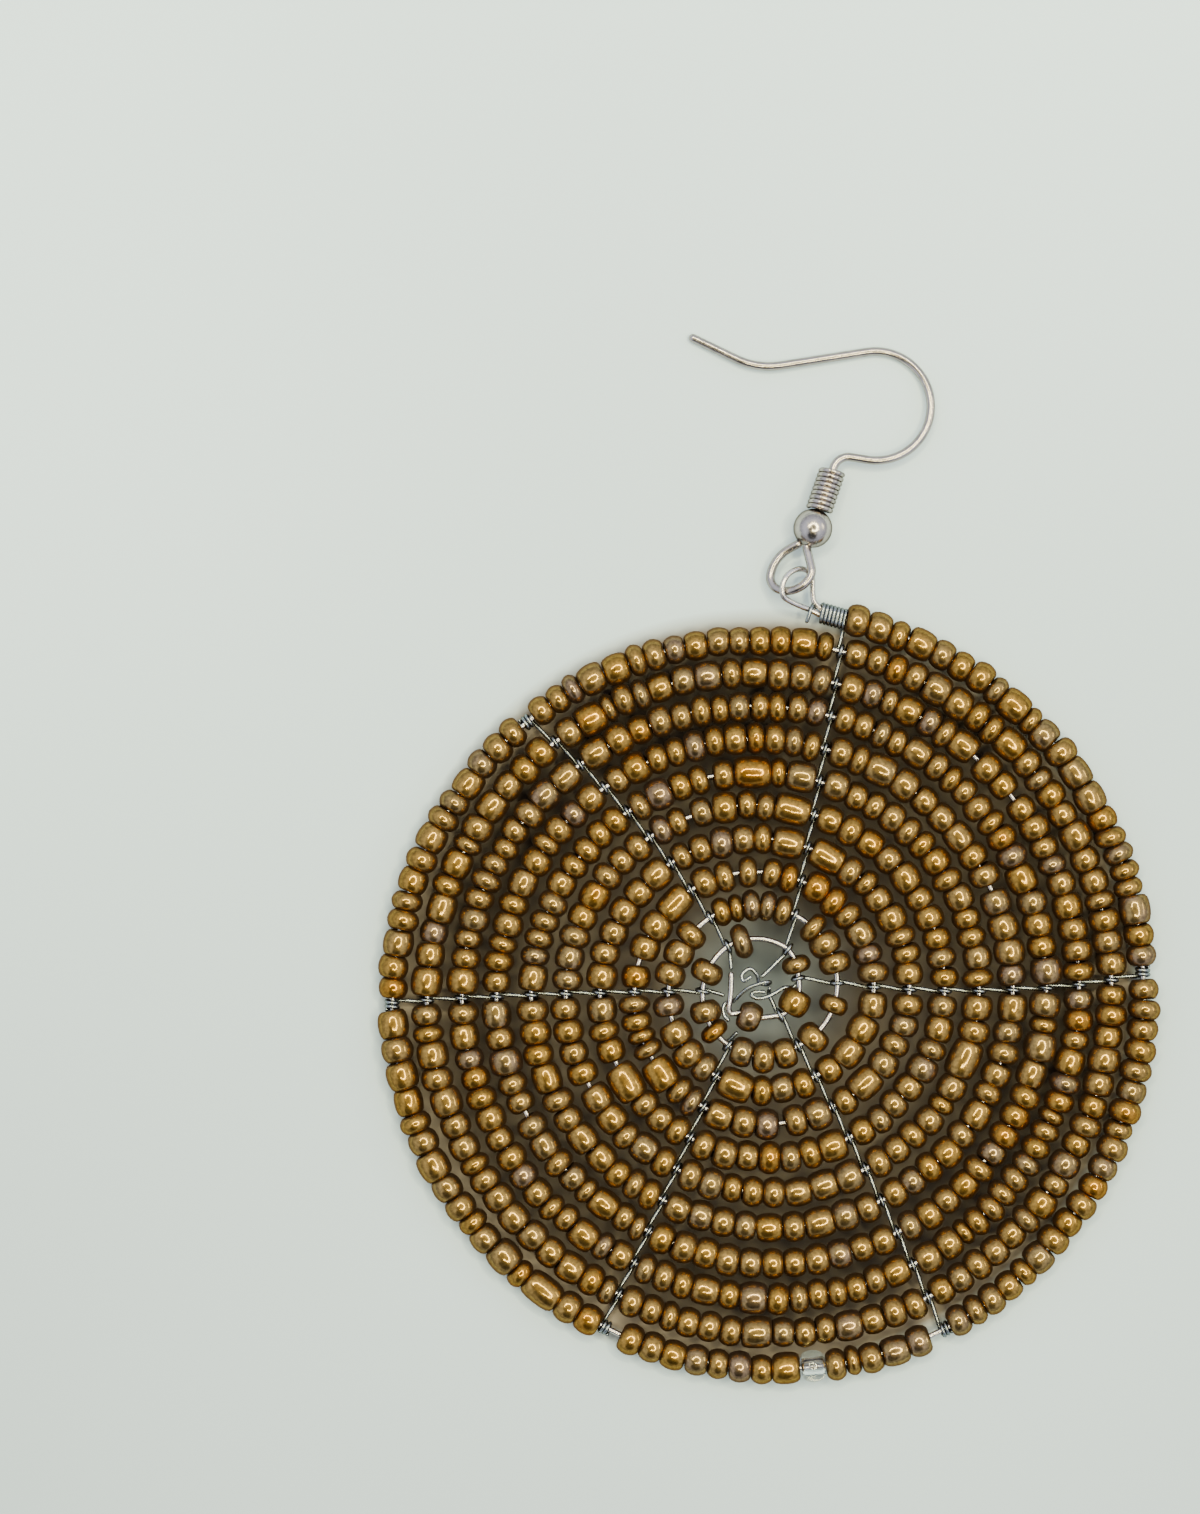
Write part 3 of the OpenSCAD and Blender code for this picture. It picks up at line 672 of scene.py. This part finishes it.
# Mixes in the dark brown of the painted shade on the flanks and the ends
link_value(tree, shader.inputs["Base Color"],
           add_node(tree, "ShaderNodeMix", "Result", data_type="RGBA", in0=painted_shade_and_wear,
                    in6=mottled, in7=(0.104, 0.066, 0.046, 1)))
gloss = add_node(tree, "ShaderNodeMapRange", 0, in0=patches, in1=0.3, in2=0.7, in3=0.09,
                 in4=0.14)
link_value(tree, shader.inputs["Roughness"],
           add_node(tree, "ShaderNodeMath", 0, operation="MULTIPLY_ADD", in0=flank, in1=0.45,
                    in2=gloss))
uneven = add_node(tree, "ShaderNodeMath", 0, operation="MULTIPLY_ADD", in0=grain, in1=0.16,
                  in2=dents)
link_value(tree, shader.inputs["Normal"],
           add_node(tree, "ShaderNodeBump", 0, Strength=0.32, Distance=0.00004, Height=uneven))
shader.inputs["Metallic"].default_value = 1.0
shader.inputs["Specular Tint"].default_value = (0.26, 0.20, 0.18, 1)
# The fired film is glossy on top of a silky one, so most of the light is
# mirrored sharply and the rest is spread
silk = tree.nodes.new("ShaderNodeBsdfPrincipled")
silk.inputs["Metallic"].default_value = 1.0
silk.inputs["Roughness"].default_value = 0.42
silk.inputs["Specular Tint"].default_value = (0.82, 0.66, 0.56, 1)
for socket in ("Base Color", "Normal"):
    link_value(tree, silk.inputs[socket], shader.inputs[socket].links[0].from_socket)
link_value(tree, tree.nodes["Material Output"].inputs["Surface"],
           add_node(tree, "ShaderNodeMixShader", 0, in0=0.34, in1=shader.outputs[0],
                    in2=silk.outputs[0]))

for sector in range(6):
    add_beads(f"seed_beads_{sector + 1}", threaded_beads(sector), lustre,
              f"bead_sector_{sector + 1}")

# The one clear bead sits in the outermost row, on its stretch 2
GLASS_STRETCH = 2
GLASS_BEARING = 172.5
GLASS_LENGTH = 1.75
clear_glass, tree, shader = new_finish("clear_glass")
shader.inputs["Base Color"].default_value = (0.93, 0.95, 0.94, 1)
shader.inputs["Transmission Weight"].default_value = 1.0
shader.inputs["IOR"].default_value = 1.5
link_value(tree, shader.inputs["Roughness"],
           add_node(tree, "ShaderNodeMapRange", 0, in3=0.02, in4=0.12,
                    in0=add_node(tree, "ShaderNodeTexNoise", 0, Scale=1500.0, Detail=2.0,
                                 Vector=add_node(tree, "ShaderNodeTexCoord", "Object"))))
share = along_bearing(GLASS_STRETCH, GLASS_BEARING)
seen = np.radians(arc_from[GLASS_STRETCH] + (arc_to - arc_from)[GLASS_STRETCH] * share)
glass_bead = (row_point(GLASS_STRETCH, np.array([share])),
              np.array([[np.cos(seen), -np.sin(seen)]]), np.array([GLASS_LENGTH]),
              np.array([BEAD_D]))
add_beads("glass_bead", glass_bead, clear_glass, "clear_bead")


# ---- The ribs ---------------------------------------------------------------
# Six thin grey steel wires, 0.3 mm thick, tie the rows together. Each runs
# straight from row to row, below them, and takes a full turn round the core
# wire at each one. It starts with more turns round the outermost row.

LAST_ROW = [10, 10, 10, 9, 9, 9]
TURN_R = CORE_D / 2 + TIE_D / 2 + WIRE_AIR + 0.04
TURN_PITCH = 0.36
TURN_STEPS = 24
END_STEPS = 8
RIM_TURN_PITCH = TIE_D + 0.02
RIM_TURNS = 1.25
# The first rib starts under the binding, this share of the way to row 1
INSIDE_BINDING = 0.35
# Each rib's end in the hub, past the last row that it holds
RIB_ENDS = [
    [[-0.1, 1.35, 0]],
    [[2.3, 0.5, -0.3], [1.6, 0.46, -0.1], [0.86, 0.05, 0], [0.17, -0.25, 0.1],
     [-0.5, -0.35, 0.12], [-0.95, -0.12, 0.1], [-0.72, 0.14, 0.1], [0, 0.14, 0.1]],
    [[0.72, -0.75, -0.3], [0.5, -0.3, -0.3], [0.4, 0.1, -0.3], [0.45, 0.4, -0.1]],
    [[-2.1, -3.05, -0.2]], [[-3.15, -0.1, -0.1]], [[-2.52, 2, -0.1]]]

grey_steel = add_metal("grey_steel", (0.29, 0.32, 0.335), 0.27, 0.04, 0.70, 0.3)


def turns_at(crossing, first, pitch):
    """Turns round the core wire at a crossing, from turn number first to turn
    1, where whole numbers are below it: with w the way along the core wire, p -
    r sin(2 pi t) outwards + pitch (1/2 - t) w, at the height -r cos(2 pi t)."""
    t = np.linspace(first, 1, round(TURN_STEPS * (1 - first)) + 1)[:, None]
    outward = unit(cross_at[crossing])
    way = np.array([-outward[1], outward[0]])
    flat_part = (cross_at[crossing] - TURN_R * np.sin(2 * np.pi * t) * outward
                 + pitch * (0.5 - t) * way)
    steady = np.tile([*way, 0.0], (len(t), 1))
    return np.column_stack([flat_part, -TURN_R * np.cos(2 * np.pi * t)]), steady


def rib_wire(rib):
    """A rib's line from the rim to the hub, and a steady direction for its
    surface, which goes over from along the rows to straight up in the hub."""
    parts = [turns_at(rib + 6 * row, 0, TURN_PITCH) for row in range(1, LAST_ROW[rib] + 1)]
    if rib == 0:
        start = cross_at[0] * (1 - INSIDE_BINDING) + cross_at[6] * INSIDE_BINDING
        parts.insert(0, (np.array([[*start, -TURN_R]]), parts[0][1][:1]))
    else:
        parts.insert(0, turns_at(rib, -RIM_TURNS, RIM_TURN_PITCH))
    line, steady = (np.concatenate(part) for part in zip(*parts))
    end = curve_through(np.concatenate([line[-1:], RIB_ENDS[rib]]), END_STEPS)[1:]
    share = np.minimum(1, np.arange(1, len(end) + 1) / END_STEPS)[:, None]
    return (np.concatenate([line, end]),
            np.concatenate([steady, steady[-1] * (1 - share) + np.array([0, 0, 1]) * share]))


for rib in range(6):
    line, steady = rib_wire(rib)
    add_wires(f"rib_{rib + 1}", [drawn_wire(line, TIE_D, TIE_SIDES, steady)], grey_steel,
              [f"rib_wire_{rib + 1}"])


# ---- The binding and the knot -----------------------------------------------
# More of the grey wire is bound six and a half turns round the foot of the
# hanging loop, and a knot of it holds the ribs' ends together at the hub.

BINDING_TURNS = 6.5
BINDING_R = TURN_R + 0.02
KNOT = np.array([
    [-2.75, -2, 0.2], [-3.05, -1.65, 0.1], [-3.12, -1.1, -0.05], [-2.95, -0.75, -0.15],
    [-2.6, -0.66, -0.2], [-2.25, -0.5, 0], [-1.9, -0.12, 0.25], [-1.3, 0.4, 0.42],
    [-0.6, 0.72, 0.55], [0.12, 0.93, 0.6], [0.5, 0.88, 0.2], [0.2, 0.68, -0.25],
    [-0.35, 0.85, -0.25], [-0.52, 1.44, -0.05], [-1.06, 1.94, 0.1], [-1.68, 1.5, 0.25],
    [-1.55, 1, 0.4], [-1.06, 1.3, 0.5]])

# The binding goes round both core wires, so each turn is a circle whose two
# halves are moved apart across them
turn = np.arange(0, BINDING_TURNS, 1 / TURN_STEPS)[:, None]
a = 2 * np.pi * turn
binding = (BINDING_FROM + (BINDING_TO - BINDING_FROM) * turn / BINDING_TURNS
           + (BINDING_R * np.cos(a)
              + WIRE_SHIFT * np.clip(3 * np.cos(a), -1, 1)) * BINDING_ACROSS
           + BINDING_R * np.sin(a) * np.array([0, 0, 1]))
# Its cut end comes up between the loop's two legs and stands off over the lower
# one: millimetres along the binding, across it and up
BINDING_END = np.array([
    [-0.90, -0.95, 0.34], [-0.88, -0.55, 0.45], [-0.86, -0.12, 0.50], [-0.84, 0.22, 0.38],
    [-0.80, 0.38, 0.06], [-0.68, 0.36, -0.22], [-0.44, 0.32, -0.42], [-0.18, 0.50, -0.30]])
loose_end = BINDING_FROM + BINDING_END @ np.stack([BINDING_WAY, BINDING_ACROSS, [0, 0, 1]])
binding = np.concatenate([
    curve_through(np.concatenate([loose_end, binding[:1]]), CURVE_STEPS)[:-1], binding])
add_wires("loop_binding", [drawn_wire(binding, TIE_D, TIE_SIDES, BINDING_WAY)], grey_steel,
          ["top_wrap"])
knot_line = curve_through(KNOT, END_STEPS)
add_wires("hub_knot", [drawn_wire(knot_line, TIE_D, CORE_SIDES)], grey_steel,
          ["centre_tie"])


# ---- The ear wire -----------------------------------------------------------
# Bought as one piece: 0.65 mm nickel-plated wire, bent into a fish hook, with
# a drilled 3 mm ball and a small spring coil pushed over its stem, and a loop
# below them that hangs in the disc's loop. It lies on its ball, bow and tip.

HOOK_D = 0.65
BALL_D = 3.0
COIL_D = 2.1
COIL_WIRE_D = 0.38
COIL_TURNS = 8.5
HOOK_SIDES, BALL_SIDES, COIL_SIDES = 20, 40, 12
BALL_STEPS, COIL_STEPS = 25, 30
LOOP_TILT = np.radians(25)
BALL_AT = np.array([3.75, 35.78])
STEM_HEADING = np.radians(71)
# It leans about a line through the ball. The bow and the tip are equally far
# from that line, by this reach, and both touch the table
REST_LINE = np.radians(-4.2)
REST_REACH = 14.06
HOOK_TILT = np.arcsin((BALL_D - HOOK_D - 0.02) / 2 / REST_REACH)
# Runs of wire from the ball's middle: a length, or a bend's radius and angle
TO_TIP = [(5.0,), (1.2, -80), (1.3,), (4.25, 198), (6.7,), (5.9, -35), (3.65,)]
TO_LOOP_END = [(1.3,), (0.8, 33.5), (1.5,), (1.0, -50.5), (2.05, -81), (1.1, -72.5),
               (2.65, -57), (0.75,)]
STEP = 0.12


def bent_wire(runs):
    """The middle line of a wire in its own plane. Its curvature is 0 on a
    straight run and 1 / radius on a bend; the heading is the sum of curvature
    by length, and the line is the sum of the headings' directions."""
    lengths, curves = [], []
    for run in runs:
        length = run[0] if len(run) == 1 else run[0] * abs(np.radians(run[1]))
        steps = max(2, round(length / STEP))
        lengths.append(np.full(steps, length / steps))
        curves.append(np.full(steps, 0.0 if len(run) == 1 else np.sign(run[1]) / run[0]))
    lengths, curves = np.concatenate(lengths), np.concatenate(curves)
    turned = np.cumsum(lengths * curves)
    heading = turned - lengths * curves / 2
    step = lengths[:, None] * np.stack([np.cos(heading), np.sin(heading)], 1)
    return np.concatenate([np.zeros((1, 2)), np.cumsum(step, 0)])


def turned_about(points, axis, angle):
    """Points turned by an angle about an axis through the origin: p cos a +
    (k x p) sin a + k (k.p)(1 - cos a)."""
    k = np.asarray(axis, float)
    return (points * np.cos(angle) + np.cross(k, points) * np.sin(angle)
            + (points @ k)[..., None] * k * (1 - np.cos(angle)))


def ear_wire_place(points):
    """From the ear wire's own plane, with its stem along X from the ball's
    middle, to metres on the table."""
    points = turned_about(np.asarray(points, float), (0, 0, 1), STEM_HEADING)
    points = turned_about(points, (np.cos(REST_LINE), np.sin(REST_LINE), 0), -HOOK_TILT)
    return (points + [*(DISC_AT + BALL_AT), BALL_D / 2]) * MM


nickel = add_metal("nickel_plate", (0.475, 0.425, 0.395), 0.22, 0.12, 0.74, 0.15)
up_line = flat(bent_wire(TO_TIP))
down = bent_wire(TO_LOOP_END)[:0:-1]
down_line = np.stack([-down[:, 0], -down[:, 1] * np.cos(LOOP_TILT),
                      down[:, 1] * np.sin(LOOP_TILT)], 1)
add_wires("ear_wire", [drawn_wire(np.concatenate([down_line, up_line]), HOOK_D, HOOK_SIDES)],
          nickel, ["ear_hook"], ear_wire_place)

# The ball: a half circle from one rim of its hole to the other, the rims
# rounded over, and straight through the hole, turned round the stem
hole_r = (HOOK_D + 3 * WIRE_AIR) / 2
polar = np.linspace(-1, 1, BALL_STEPS) * np.arccos(hole_r / (BALL_D / 2) * 1.25)
outline = BALL_D / 2 * np.stack([np.sin(polar), np.cos(polar)], 1)
rim = outline[-1] + np.array([[0.03, -0.05], [0.02, -0.11]])
inside = np.array([[0.6, hole_r], [0.0, hole_r], [-0.6, hole_r]])
outline = np.concatenate([outline, rim, inside, (rim * [-1, 1])[::-1]])
v = np.arange(BALL_SIDES) / BALL_SIDES * 2 * np.pi
ball = np.stack([np.broadcast_to(outline[:, :1], (len(outline), BALL_SIDES)),
                 outline[:, 1:] * np.cos(v), outline[:, 1:] * np.sin(v)], -1)
i, k = np.meshgrid(np.arange(len(outline)), np.arange(BALL_SIDES), indexing="ij")
i2, k2 = (i + 1) % len(outline), (k + 1) % BALL_SIDES
ball_faces = np.stack([i, i, i2, i2], -1) * BALL_SIDES + np.stack([k, k2, k2, k], -1)
add_piece("ear_wire_ball", ear_wire_place(ball), ball_faces.reshape(-1, 4).tolist(), nickel,
          ["hook_ball"])

# The coil: x grows evenly as the wire goes round the stem
first_x = BALL_D / 2 + WIRE_AIR
coil_pitch = (TO_TIP[0][0] - first_x - COIL_WIRE_D / 2) / (COIL_TURNS + 0.5)
turn = np.arange(0, COIL_TURNS, 1 / COIL_STEPS)
coil_r = (COIL_D - COIL_WIRE_D) / 2
coil = np.stack([first_x + coil_pitch * turn, coil_r * np.cos(2 * np.pi * turn),
                 coil_r * np.sin(2 * np.pi * turn)], 1)
add_wires("ear_wire_coil", [drawn_wire(coil, COIL_WIRE_D, COIL_SIDES, (1, 0, 0))], nickel,
          ["hook_coil"], ear_wire_place)
